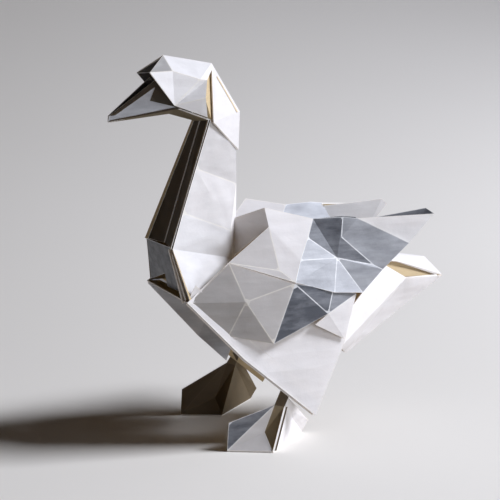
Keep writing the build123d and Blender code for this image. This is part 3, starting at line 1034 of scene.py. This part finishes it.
@dataclass
class Body(Part):
    """Back, wings and flanks."""

    name = "body"
    upper_tip_step: Step = (52.9, 15.2, -1.1)
    rear_step: Step = (37.0, 16.6, -20.0)
    low_step: Step = (29.3, 18.0, -26.7)
    bend_step: Step = (1.2, 17.2, -18.2)
    edge_steps: tuple[Step, Step] = ((12.1, 13.8, -9.0), (8.2, 17.2, -15.4))
    mid_steps: tuple[Step, Step, Step] = ((23.7, 13.8, -9.3), (21.4, 15.5, -15.6), (18.6, 20.0, -25.6))
    ridge_step: Step = (34.1, 15.8, -18.5)
    back_front_step: Step = (14.8, 0.0, -5.5)
    right_lift: float = 2.2
    right_root_lift: float = 1.3
    # Painted shade on the inside of the right wing's lining.
    right_lining_wash: float = 0.5
    layer_inset: float = 0.9
    layer_run: float = 3.0
    layer_rise: float = 5.0
    near_share: float = 0.97
    near_drops: Step = (0.7, 0.7, 0.7)
    far_share: float = 0.42
    far_drops: Step = (0.7, 1.6, 2.6)
    slit_inset: float = 0.7
    slit_rise: float = 0.55
    slit_front_share: float = 0.2
    slit_thick: float = 0.15

    def half(self) -> list[Panel]:
        """Left half of the back, the wing's upper layer with its grey patch, and the flank, with painted
        shade and sheen per panel.

        Returns:
            The panels.
        """
        c = self.at
        root = c.wing_root
        bend = corner(root, self.bend_step)
        edge_high, edge_low = [corner(root, s) for s in self.edge_steps]
        mid_high, mid, mid_low = [corner(root, s) for s in self.mid_steps]
        ridge, rear, low = [corner(root, s) for s in (self.ridge_step, self.rear_step, self.low_step)]
        back_front = corner(c.gusset_top, self.back_front_step)
        flank = (c.flank_tip, c.belly, c.chest_low, *c.flank_tucks, c.flank_top, c.flank_rear)
        grey = Tone.GREY
        # Painted shade and light: facets under the wing's rim darker, the grey patch's facets darker or paler
        # where sheen falls, the flank a little darker.
        return [
            panel(c.rim_top, root, c.wing_top, edge_high, edge_low, bend),
            panel(bend, edge_low, c.wing_knee),
            panel(c.rim_top, bend, c.rim_fold, wash=0.32),
            panel(c.wing_knee, c.rim_fold, bend, wash=0.28),
            panel(mid, edge_high, c.wing_top, c.wing_crest, mid_high, outer=grey, wash=0.1),
            panel(mid, edge_high, edge_low, outer=grey, wash=0.85),
            panel(mid_high, c.wing_crest, c.wing_split, c.wing_corner, ridge, outer=grey, wash=0.5),
            panel(mid_high, ridge, mid, outer=grey, wash=0.1),
            panel(ridge, c.wing_corner, rear, outer=grey, wash=0.5),
            panel(mid, edge_low, c.wing_knee, mid_low, outer=grey, wash=0.72),
            panel(mid, mid_low, low, outer=grey, wash=0.76),
            panel(mid, low, rear, ridge, outer=grey, wash=0.56),
            panel(c.wing_split, c.wing_tip, c.wing_corner),
            panel(back_front, c.gusset_top, root, c.wing_top, wash=0.5),
            panel(back_front, c.wing_top, c.wing_crest, c.back_rear, outer=grey, wash=0.9),
            panel(c.back_rear, c.wing_crest, c.wing_split, c.wing_inner, outer=grey, wash=0.9),
            panel(c.gusset_top, root, c.rim_top, c.gusset_low),
            panel(*flank, wash=0.78, inner_wash=0.6),
            panel(c.rim_fold, c.chest_low, *c.flank_tucks, c.wing_knee, inner_wash=0.55),
            panel(c.wing_knee, c.flank_tucks[-1], c.flank_top),
        ]

    def lining(self) -> list[Panel]:
        """Left wing's inner layer, which leaves a slit along the top; its outer skin has painted shade.

        Returns:
            One panel.
        """
        c = self.at
        upper_tip = corner(c.wing_root, self.upper_tip_step)
        points = (c.wing_corner, c.wing_tip, upper_tip, c.lining_split, c.wing_inner)
        return [panel(*points, outer=Tone.GREY, inner=Tone.GREY, wash=0.1, inner_wash=0.9)]

    def right(self, panels: list[Panel]) -> list[Panel]:
        """The right side, where the wing's top edge and root sit a little higher.

        Args:
            panels: Panels of the left side.

        Returns:
            Their twins, raised where the right wing is.
        """
        c = self.at
        tops = [flipped(p) for p in (c.wing_top, c.wing_crest, c.wing_split, c.lining_split)]
        lifted = [p.raised(tops, self.right_lift) for p in mirrored(panels)]
        return [p.raised([flipped(c.wing_root)], self.right_root_lift) for p in lifted]

    def layer(self, share: float, drops: Step) -> list[Panel]:
        """Inner layer along the left flank's lower edge, a little lower than the outer one.

        Args:
            share: How far it runs from the belly to the flank's tip.
            drops: How much lower it hangs at its front, at the belly and at its end, in mm.

        Returns:
            The panels.
        """
        c = self.at
        inward = offset(side=self.layer_inset)
        climb = offset(run=self.layer_run, rise=self.layer_rise)
        ends = (c.chest_low, c.belly, between(c.belly, c.flank_tip, share))
        low = [p + inward - offset(rise=drop) for p, drop in zip(ends, drops)]
        high = [p + inward + climb for p in ends]
        # The inner skins are grey with painted shade for the inside of the belly.
        return [panel(low[0], low[1], high[1], high[0], inner=Tone.GREY, inner_wash=0.95),
                panel(low[1], low[2], high[2], high[1], inner=Tone.GREY, inner_wash=0.7)]

    def slit(self) -> list[Panel]:
        """Edge of the layer inside the left wing, seen along its top, as strips of painted shade.

        Returns:
            The panels.
        """
        c = self.at
        up = offset(rise=self.slit_rise)
        inward = offset(side=self.slit_inset)
        front, crest, rear = [p + inward for p in (c.wing_top, c.wing_crest, c.wing_split)]
        # Painted shade: near-black strips for the shadow inside the slit.
        painted_shade = {"outer": Tone.GREY, "inner": Tone.GREY, "wash": 0.0, "inner_wash": 0.0}
        return [panel(front - up, front + up * self.slit_front_share, crest + up, crest - up, **painted_shade),
                panel(crest - up, crest + up, rear + up, rear - up, **painted_shade)]

    def sheets(self) -> list[Sheet]:
        """Both halves, then the linings, the layers along the flanks and the slit.

        Returns:
            The sheets.
        """
        left, lining = self.half(), self.lining()
        # The right lining's inner skin gets painted shade.
        dress = {"inner": Tone.WHITE, "inner_wash": self.right_lining_wash}
        right_lining = [replace(p, **dress) for p in self.right(lining)]
        near = self.layer(self.near_share, self.near_drops)
        far = mirrored(self.layer(self.far_share, self.far_drops))
        return [
            Sheet(left + self.right(left), cuts=14, bulge=0.06, crumple=PRESSED),
            Sheet(lining),
            Sheet(right_lining, outward=RIGHT),
            Sheet(near, thick=TRIM_THICK, bulge=0.0),
            Sheet(far, outward=RIGHT, thick=TRIM_THICK, bulge=0.0),
            Sheet(self.slit(), thick=self.slit_thick, bulge=0.0),
        ]


@dataclass
class LowerFlap(Part):
    """Pleated flap over each flank, folded round the body's lower front edge."""

    name = "lower_flaps"
    knee_step: Step = (-0.4, 21.4, -0.3)
    chest_step: Step = (0.8, 20.1, -0.2)
    foot_step: Step = (13.0, 20.5, -11.0)
    fold_step: Step = (-20.4, 17.7, 6.6)
    crease_step: Step = (-16.6, 22.0, -4.7)
    toe_step: Step = (-7.9, 22.8, -18.0)
    tuck_steps: tuple[Step, Step] = ((13.6, 18.9, -3.2), (22.6, 17.0, -5.6))
    hem_steps: tuple[Step, Step, Step] = ((11.4, 20.2, -10.6), (17.8, 18.8, -19.4), (7.0, 20.4, -13.7))
    proud: Step = (-0.1, -0.3, 0.0)
    bulge: float = 0.12

    def half(self) -> list[Panel]:
        """Left flap: white front facets, grey lower ones and the white rear corner, each with painted shade.

        Returns:
            The panels.
        """
        c = self.at
        front_steps = (self.knee_step, self.fold_step, self.crease_step, self.toe_step)
        knee, fold, crease, toe = [corner(c.wing_knee, s) for s in front_steps]
        tuck, tuck_rear = [corner(c.wing_knee, s) for s in self.tuck_steps]
        hem, hem_rear, hem_low = [corner(c.wing_knee, s) for s in self.hem_steps]
        chest, foot = [corner(c.chest_low, s) for s in (self.chest_step, self.foot_step)]
        # Painted shade: the front facets and the grey ones darker as they turn from the light.
        return [
            panel(crease, toe, foot, wash=0.16),
            panel(crease, foot, chest, fold, wash=0.1),
            panel(crease, fold, knee, wash=0.22),
            panel(crease, knee, toe, wash=0.27),
            panel(hem, toe, knee, outer=Tone.GREY, wash=0.0),
            panel(hem, knee, tuck, outer=Tone.GREY, wash=0.03),
            panel(hem, tuck, tuck_rear, outer=Tone.GREY, wash=0.25),
            panel(hem, tuck_rear, hem_rear, hem_low, wash=0.75),
        ]

    def sheets(self) -> list[Sheet]:
        """Left flap and right flap.

        Returns:
            The sheets.
        """
        left = [p.moved(np.array(self.proud)) for p in self.half()]
        sides = ((left, LEFT), (mirrored(left), RIGHT))
        return [Sheet(p, outward=side, bulge=self.bulge, crumple=PRESSED) for p, side in sides]


@dataclass
class Tail(Part):
    """Roof over a keeled hull."""

    name = "tail"
    root_step: Step = (-3.5, 0.0, 0.7)
    bend_step: Step = (29.2, 0.0, -4.8)
    tip_step: Step = (36.1, 0.0, -11.4)
    eave_step: Step = (16.6, 4.4, -5.0)
    eave_front_step: Step = (3.0, 7.0, -3.0)
    rail_step: Step = (19.8, 5.0, -10.4)
    rail_front_step: Step = (10.6, 6.4, -5.3)
    keel_step: Step = (20.6, 0.0, -21.2)
    keel_front_step: Step = (0.3, 0.0, -35.3)
    pleat_inset: float = 0.9
    stern_inset: float = 3.0
    stern_drop: float = 6.0

    def points(self, *steps: Step) -> list[Point]:
        """Corners by their steps from the rear end of the back."""
        return [corner(self.at.back_rear, s) for s in steps]

    def roof(self) -> list[Panel]:
        """Left half of the roof."""
        steps = (self.bend_step, self.root_step, self.eave_front_step, self.eave_step, self.tip_step)
        return [panel(*self.points(*steps))]

    def pleat(self) -> list[Panel]:
        """Layer just behind the gap between the left eave and the hull's rail, in painted shade of tan.

        Returns:
            One panel.
        """
        steps = (self.eave_front_step, self.eave_step, self.tip_step, self.rail_step, self.rail_front_step)
        layer = panel(*self.points(*steps), outer=Tone.PAINTED_SHADE, wash=0.7)
        return [layer.moved(offset(side=self.pleat_inset))]

    def hull(self) -> list[Panel]:
        """Left half of the hull, forward to the flank.

        Returns:
            One panel.
        """
        c = self.at
        rail, tip, keel = self.points(self.rail_step, self.tip_step, self.keel_step)
        keel_front, rail_front = self.points(self.keel_front_step, self.rail_front_step)
        low = toward(c.flank_rear, between(c.flank_tip, c.flank_top, 0.5), self.stern_inset)
        high = toward(c.flank_top, c.flank_tip, self.stern_drop)
        return [panel(rail, tip, keel, keel_front, low, high, rail_front)]

    def sheets(self) -> list[Sheet]:
        """Roof, hull and the layers between them.

        Returns:
            The sheets.
        """
        roof, hull = Sheet(both(self.roof()), outward=UP), Sheet(both(self.hull()))
        pleats = Sheet(both(self.pleat()), cuts=6, thick=TRIM_THICK, bulge=0.0, crumple=SMOOTH)
        return [roof, hull, pleats]


@dataclass
class Head(Part):
    """Hood with its collar, beak walls and jaw."""

    name = "head"
    fold_step: Step = (-3.7, 0.0, 17.9)
    front_step: Step = (-12.4, 0.0, 19.2)
    tip_step: Step = (-18.7, 6.9, 14.2)
    brow_step: Step = (-11.2, 5.4, 14.6)
    temple_step: Step = (-2.6, 5.6, 12.2)
    nick_step: Step = (0.0, 4.6, 11.9)
    cheek_step: Step = (-1.4, 7.6, 6.6)
    collar_crease: float = 2.0
    collar_front_step: Step = (0.5, 8.7, -0.6)
    collar_low_step: Step = (-0.4, 0.0, -11.8)
    nose_step: Step = (-18.9, 0.5, -3.0)
    beak_top_step: Step = (-4.6, 4.6, 8.4)
    beak_root: float = 2.5
    beak_root_inset: float = 0.7
    jaw_edge_step: Step = (0.6, 4.6, -0.6)
    jaw_keel_step: Step = (0.0, 0.0, -2.4)
    chin_step: Step = (-2.6, 0.0, -0.2)
    tuck_depth: float = 1.0
    strip_start: float = 0.2
    strip_inset: float = 1.0
    strip_width: float = 0.5
    strip_off: float = 0.1
    # The beak's near-black strips are painted shade: the hood's cast shadow and the gaps along the top and
    # lower edge.
    hood_shadow_share: float = 0.45
    hood_shadow_drop: float = 0.3
    shade_strip_width: float = 1.7
    gap_shadow_width: float = 0.8
    proud: float = 0.35

    def hood(self) -> list[Panel]:
        """Left half of the hood and the collar behind it, with painted shade per facet.

        Returns:
            The panels.
        """
        c = self.at
        ridge_steps = (self.fold_step, self.front_step, self.tip_step)
        side_steps = (self.brow_step, self.temple_step, self.nick_step, self.cheek_step)
        fold, front, tip = [corner(c.throat, s) for s in ridge_steps]
        brow, temple, nick, cheek = [corner(c.throat, s) for s in side_steps]
        collar_front = corner(c.throat, self.collar_front_step)
        collar_low = corner(c.nape, self.collar_low_step)
        crease = toward(c.hood_back, collar_front, self.collar_crease)
        # Painted shade: the hood's inner skin near black, its front facet deep, the roof, side and collar a
        # little darker.
        lined = {"inner": Tone.GREY, "inner_wash": 0.0}
        return [
            panel(temple, brow, front, fold, c.hood_back, crease, nick, wash=0.84, **lined),
            panel(brow, front, tip, wash=0.18, **lined),
            panel(c.hood_low_front, tip, brow, temple, **lined),
            panel(c.hood_low_front, temple, nick, cheek, wash=0.8, **lined),
            panel(c.hood_low_front, cheek, c.hood_low_back, **lined),
            panel(c.nape, c.hood_back, crease, collar_front, collar_low, wash=0.72),
        ]

    def tuck(self) -> list[Panel]:
        """Layer behind the gap between hood and collar, in painted shade of tan.

        Returns:
            One panel.
        """
        c = self.at
        steps = (self.nick_step, self.cheek_step, self.collar_front_step)
        nick, cheek, collar_front = [corner(c.throat, s) for s in steps]
        crease = toward(c.hood_back, collar_front, self.collar_crease)
        layer = panel(cheek, nick, crease, collar_front, c.hood_low_back, outer=Tone.PAINTED_SHADE, wash=0.75)
        return [layer.moved(offset(side=self.tuck_depth))]

    def collar_strip(self) -> list[Panel]:
        """Narrow strip of the layer below, along the collar's outer edge, in painted shade of tan.

        Returns:
            One panel.
        """
        c = self.at
        collar_front = corner(c.throat, self.collar_front_step)
        out = offset(self.strip_off, -self.proud, self.strip_off)
        ends = (between(c.hood_back, c.nape, self.strip_start), c.nape)
        high, low = [toward(p, collar_front, self.strip_inset) + out for p in ends]
        inner_high, inner_low = [toward(p, collar_front, self.strip_width) for p in (high, low)]
        return [panel(high, low, inner_low, inner_high, outer=Tone.PAINTED_SHADE, wash=0.9)]

    def beak_wall(self) -> list[Panel]:
        """Left wall of the beak.

        Returns:
            One panel.
        """
        c = self.at
        nose, top = [corner(c.hood_low_front, s) for s in (self.nose_step, self.beak_top_step)]
        root = toward(c.hood_low_front, c.hood_low_back, self.beak_root) + offset(side=self.beak_root_inset)
        dress = {"outer": Tone.GREY, "inner": Tone.GREY, "wash": 0.75, "inner_wash": 0.0}
        return [panel(c.beak_tip, nose, top, root, **dress)]

    def beak_shadows(self) -> list[list[Panel]]:
        """Strips of painted shade on the left wall: the hood's shadow under the hood, and near-black gaps
        along the top and along the lower edge.

        Returns:
            One panel in a list of its own for each strip.
        """
        tip, nose, top, root = self.beak_wall()[0].moved(offset(side=-self.proud)).points
        inner = between(between(top, tip, self.hood_shadow_share), root, self.hood_shadow_drop)
        # Painted shadow and gaps, as near-black strips.
        hem, gap = self.shade_strip_width, self.gap_shadow_width
        hems = (
            (top, inner, root),
            (nose, top, toward(top, root, hem), toward(nose, root, hem)),
            (tip, root, toward(root, top, gap), toward(tip, top, gap)),
        )
        return [[panel(*points, outer=Tone.PAINTED_SHADE, wash=0.0)] for points in hems]

    def jaw(self) -> list[Panel]:
        """Left half of the lower jaw and chin, in painted shade.

        Returns:
            The panels.
        """
        c = self.at
        edge, keel = [corner(c.hood_low_front, s) for s in (self.jaw_edge_step, self.jaw_keel_step)]
        chin = corner(c.throat, self.chin_step)
        # Painted shade on the underside of the head.
        dress = {"outer": Tone.PAINTED_SHADE, "inner": Tone.GREY}
        return [panel(edge, middle(c.beak_tip), keel, chin, c.throat, wash=0.2, **dress),
                panel(c.throat, chin, middle(c.seam_top), wash=0.1, **dress)]

    def sheets(self) -> list[Sheet]:
        """Hood, beak walls and jaw, then the thin layers of both sides.

        Returns:
            The sheets.
        """
        wall = self.beak_wall()
        sheets = [Sheet(both(self.hood())), Sheet(wall), Sheet(mirrored(wall), outward=RIGHT),
                  Sheet(both(self.jaw()), outward=DOWN)]
        layers = [self.tuck(), self.collar_strip(), *self.beak_shadows()]
        flat = Sheet([], cuts=5, thick=FINE_THICK, bulge=0.0, crumple=SMOOTH)
        sheets += [replace(flat, panels=p) for p in layers]
        sheets += [replace(flat, panels=mirrored(p), outward=RIGHT) for p in layers]
        return sheets


@dataclass(frozen=True)
class FootDress:
    """Tones that a foot's facets show, and how pale they are; the deep tones and the paleness are painted
    shade.
    """

    fin: Tone
    fin_wash: float
    web: Tone
    web_wash: float
    valley_wash: float
    side: Tone
    side_wash: float


# Painted shade: the near foot's fin and valley deep, and the far foot, which stands in the body's shadow,
# near black all over.
NEAR_FOOT = FootDress(fin=Tone.GREY, fin_wash=0.14, web=Tone.WHITE, web_wash=0.45, valley_wash=0.22,
                      side=Tone.WHITE, side_wash=0.95)
FAR_FOOT = FootDress(fin=Tone.PAINTED_SHADE, fin_wash=0.0, web=Tone.PAINTED_SHADE, web_wash=0.02, valley_wash=0.0,
                     side=Tone.PAINTED_SHADE, side_wash=0.16)


@dataclass
class Feet(Part):
    """Legs on the flanks' inner faces and the creased feet under them."""

    name = "feet"
    leg_share: float = 0.743
    leg_inset: float = 0.3
    leg_rise: float = 3.5
    leg_top_runs: Span = (0.3, 2.6)
    right_shift: float = -1.0
    left_ankle: Step = (0.0, 0.0, 0.0)
    right_ankle: Step = (1.0, 0.0, 3.6)
    ankle_front: Step = (-2.2, -1.6, 13.5)
    ankle_rear: Step = (2.1, -1.2, 15.5)
    ankle_ridge: Step = (0.6, -0.9, 12.8)
    ground: float = 0.35
    sole_height: float = 0.225
    sole_steps: tuple[Span, Span, Span] = ((-17.5, -2.6), (-4.9, 3.4), (12.0, -13.3))
    spur: Step = (14.0, -12.6, 4.0)
    fin: Step = (-16.9, -2.8, 9.0)
    valley: Step = (-5.5, -1.6, 5.2)
    edge_width: float = 0.6
    edge_lift: float = 0.3
    edge_off: Step = (-0.1, -0.35, 0.0)
    edge_gap: float = 1.05
    bulge: float = 0.05

    @staticmethod
    def put(leg: Point, step: Step) -> Point:
        """Corner by its run from the leg, its sideways step to the left and its height."""
        return np.array([leg[0] + step[0], leg[1] - step[1], step[2]])

    def foot(self, leg: Point, hand: float, ankle: Step, dress: FootDress) -> list[Panel]:
        """Leg and foot.

        Args:
            leg: Where the leg leaves the flank's lower edge.
            hand: 1 for the left flank, -1 for the right one.
            ankle: How far the ankle's corners are moved.
            dress: Tones and painted shade of its facets.

        Returns:
            The panels.
        """
        c = self.at
        on_edge = between(c.chest_low, c.flank_tip, self.leg_share)
        lift = sized(c.flank_tucks[-1] - on_edge, self.leg_rise)
        along = sized(c.flank_tip - c.chest_low, 1.0)
        turn = np.array([1.0, hand, 1.0])
        top_front, top_rear = [leg + (lift + along * run) * turn for run in self.leg_top_runs]
        ankle_steps = (self.ankle_front, self.ankle_rear, self.ankle_ridge)
        front, rear, ridge = [self.put(leg, s) + np.array(ankle) for s in ankle_steps]
        spur, valley, fin = [self.put(leg, s) for s in (self.spur, self.valley, self.fin)]
        toe, outer, heel = [self.put(leg, (*s, self.ground)) for s in self.sole_steps]
        # Painted shade: the leg near black and the valley deep, as the dress gives.
        web = {"outer": dress.web, "wash": dress.web_wash}
        shaded = {"outer": Tone.PAINTED_SHADE, "wash": dress.valley_wash}
        return [
            panel(ridge, rear, top_rear, top_front, front, outer=Tone.PAINTED_SHADE, wash=0.05),
            panel(valley, front, toe, **web),
            panel(valley, toe, outer, **web),
            panel(valley, outer, ridge, **shaded),
            panel(valley, ridge, front, **shaded),
            panel(ridge, outer, heel, spur, rear, outer=dress.side, wash=dress.side_wash),
            panel(toe, front, fin, outer=dress.fin, wash=dress.fin_wash),
        ]

    def edging(self, leg: Point) -> list[list[Panel]]:
        """White edge and, beside it, a near-black strip of painted shade for the gap, along the near foot's
        ridge.

        Args:
            leg: Where the leg leaves the flank's lower edge.

        Returns:
            One panel in a list of its own for each.
        """
        off, wide = np.array(self.edge_off), offset(run=self.edge_width)
        ridge = self.put(leg, self.ankle_ridge) + off
        outer = self.put(leg, (*self.sole_steps[1], self.ground + self.edge_lift)) + off
        white = panel(ridge, outer, outer + wide, ridge + wide, inner=Tone.WHITE)
        painted_shade = replace(white.moved(wide * self.edge_gap), outer=Tone.PAINTED_SHADE, inner=Tone.PAINTED_SHADE, wash=0.0)
        return [[white], [painted_shade]]

    def sole(self, leg: Point) -> list[Panel]:
        """Flat layer under a foot."""
        return [panel(*[self.put(leg, (*s, self.sole_height)) for s in self.sole_steps])]

    def sheets(self) -> list[Sheet]:
        """Each foot over its sole, then the edging of the near foot.

        Returns:
            The sheets.
        """
        c = self.at
        left = between(c.chest_low, c.flank_tip, self.leg_share) + offset(side=self.leg_inset)
        right = flipped(left) + offset(run=self.right_shift)
        sides = ((left, 1.0, self.left_ankle, NEAR_FOOT), (right, -1.0, self.right_ankle, FAR_FOOT))
        sheets = []
        for leg, hand, ankle, dress in sides:
            sheets.append(Sheet(self.foot(leg, hand, ankle, dress), bulge=self.bulge))
            sheets.append(Sheet(self.sole(leg), outward=UP, bulge=0.0, crumple=SMOOTH))
        trim = {"cuts": 5, "thick": FINE_THICK, "bulge": 0.0, "crumple": SMOOTH}
        sheets += [Sheet(p, **trim) for p in self.edging(left)]
        return sheets


@dataclass(frozen=True)
class SweepFinish:
    """Matt pale backdrop with painted light: lighter from left to right, with faint clouds."""

    name: str = "pale_sweep"
    shaded: Step = (0.66, 0.625, 0.565)
    lit: Step = (0.86, 0.83, 0.79)
    fade: Span = (-0.9, 0.9)
    clouds: float = 0.1
    cloud_scale: float = 3.0
    roughness: float = 0.9
    specular: float = 0.1

    def material(self) -> bpy.types.Material:
        """Node material: the place along X, shifted by noise, runs from the shaded to the lit colour.

        Returns:
            The material.
        """
        bench = NodeBench(self.name, self.specular)
        split = bench.add("SeparateXYZ", {"Vector": bench.place})
        across = bench.ramp(split.outputs["X"], self.fade, (0.0, 1.0))
        noise = bench.noise(bench.place, self.cloud_scale)
        cloudy = bench.add("Math", {0: noise, 1: self.clouds, 2: across})
        cloudy.operation = "MULTIPLY_ADD"
        ramp = bench.add("ValToRGB", {"Fac": cloudy.outputs["Value"]})
        for element, colour in zip(ramp.color_ramp.elements, (self.shaded, self.lit)):
            element.color = rgba(colour)
        bench.feed(bench.shader, {"Base Color": ramp.outputs["Color"], "Roughness": self.roughness})
        return bench.material


@dataclass(frozen=True)
class Lamp:
    """Soft rectangular light: its place, target and size in m, its power in watts and its colour."""

    name: str
    place: Step
    target: Step
    size: Span
    power: float
    colour: Step = (0.90, 0.94, 1.04)


WINDOW = Lamp("window", place=(1.07, -0.52, 1.11), target=(0.0, 0.0, 0.04), size=(0.6, 0.3), power=36.5)
REFLECTOR = Lamp("reflector", place=(0.75, -1.00, 0.11), target=(0.0, 0.0, 0.07), size=(1.0, 0.12), power=3.8)


@dataclass
class Studio:
    """Camera, lights and the pale sweep that the goose stands on."""

    camera_mm: Step = (-149.654, -356.839, 115.35)
    yaw: float = 21.33
    pitch: float = 8.46
    lens: float = 86.4
    sensor: float = 36.0
    clip_start: float = 0.01
    room_colour: Step = (1.0, 0.56, 0.22)
    room_strength: float = 0.022
    sweep_reach: float = 2.4
    sweep_columns: int = 40
    sweep_rows: int = 120
    sweep_start: float = 0.15
    sweep_rise: float = 0.2
    sweep_finish: SweepFinish = SweepFinish()

    @staticmethod
    def aim(obj: bpy.types.Object, place: Point, back: Point) -> None:
        """Puts an object in the scene with its Z axis along a vector and its X axis level.

        Args:
            obj: The object.
            place: Where it is, in m.
            back: The vector, which points away from what the object looks at.
        """
        back = sized(back, 1.0)
        right = sized(np.cross(UP, back), 1.0)
        matrix = np.eye(4)
        matrix[:3] = np.stack([right, np.cross(back, right), back, place], 1)
        obj.matrix_world = Matrix(matrix.tolist())
        bpy.context.scene.collection.objects.link(obj)

    def camera(self) -> None:
        """Camera at the photograph's viewing angle, turned by its yaw and tilted down by its pitch."""
        yaw, pitch = math.radians(self.yaw), math.radians(self.pitch)
        level = math.cos(pitch)
        back = np.array([-math.sin(yaw) * level, -math.cos(yaw) * level, math.sin(pitch)])
        data = bpy.data.cameras.new("camera")
        data.lens = self.lens
        data.sensor_width = self.sensor
        data.clip_start = self.clip_start
        cam = bpy.data.objects.new("camera", data)
        self.aim(cam, np.array(self.camera_mm) * MM, back)
        bpy.context.scene.camera = cam

    def light(self, lamp: Lamp) -> None:
        """Sets up one lamp.

        Args:
            lamp: The lamp.
        """
        data = bpy.data.lights.new(lamp.name, "AREA")
        data.shape = "RECTANGLE"
        data.size, data.size_y = lamp.size
        data.energy = lamp.power
        data.color = lamp.colour
        place = np.array(lamp.place)
        self.aim(bpy.data.objects.new(lamp.name, data), place, place - np.array(lamp.target))

    def world(self) -> None:
        """Dim warm surroundings."""
        world = bpy.data.worlds.new("room")
        bpy.context.scene.world = world
        world.use_nodes = True
        back = world.node_tree.nodes["Background"]
        back.inputs["Color"].default_value = rgba(self.room_colour)
        back.inputs["Strength"].default_value = self.room_strength

    def sweep(self) -> None:
        """Seamless floor and back wall: flat to a start line, then rising with the square of the way on."""
        x = np.linspace(-self.sweep_reach, self.sweep_reach, self.sweep_columns)
        y = np.linspace(-self.sweep_reach, self.sweep_reach, self.sweep_rows)
        across, depth = np.meshgrid(x, y, indexing="ij")
        height = self.sweep_rise * np.maximum(depth - self.sweep_start, 0.0) ** 2
        points = np.stack([across, depth, height], -1).reshape(-1, 3)
        index = np.arange(len(points)).reshape(across.shape)
        quads = np.stack([index[:-1, :-1], index[1:, :-1], index[1:, 1:], index[:-1, 1:]], -1).reshape(-1, 4)
        mesh = bpy.data.meshes.new("sweep")
        mesh.from_pydata(points.tolist(), [], quads.tolist())
        mesh.polygons.foreach_set("use_smooth", np.ones(len(quads), bool))
        mesh.materials.append(self.sweep_finish.material())
        obj = bpy.data.objects.new("sweep", mesh)
        bpy.context.scene.collection.objects.link(obj)

    def build(self) -> None:
        """Sets up the studio."""
        bpy.context.scene.view_settings.view_transform = "Standard"
        self.camera()
        self.world()
        self.sweep()
        for lamp in (WINDOW, REFLECTOR):
            self.light(lamp)


def main() -> None:
    """Builds the goose from head to feet, then the studio."""
    logging.basicConfig(level=logging.INFO, format="%(message)s")
    shop = PaperShop()
    at = Corners()
    for part in (Head(at), Neck(at), Chest(at), Body(at), LowerFlap(at), Tail(at), Feet(at)):
        shop.piece(part.name, part.sheets())
    Studio().build()


if __name__ == "__main__":
    main()
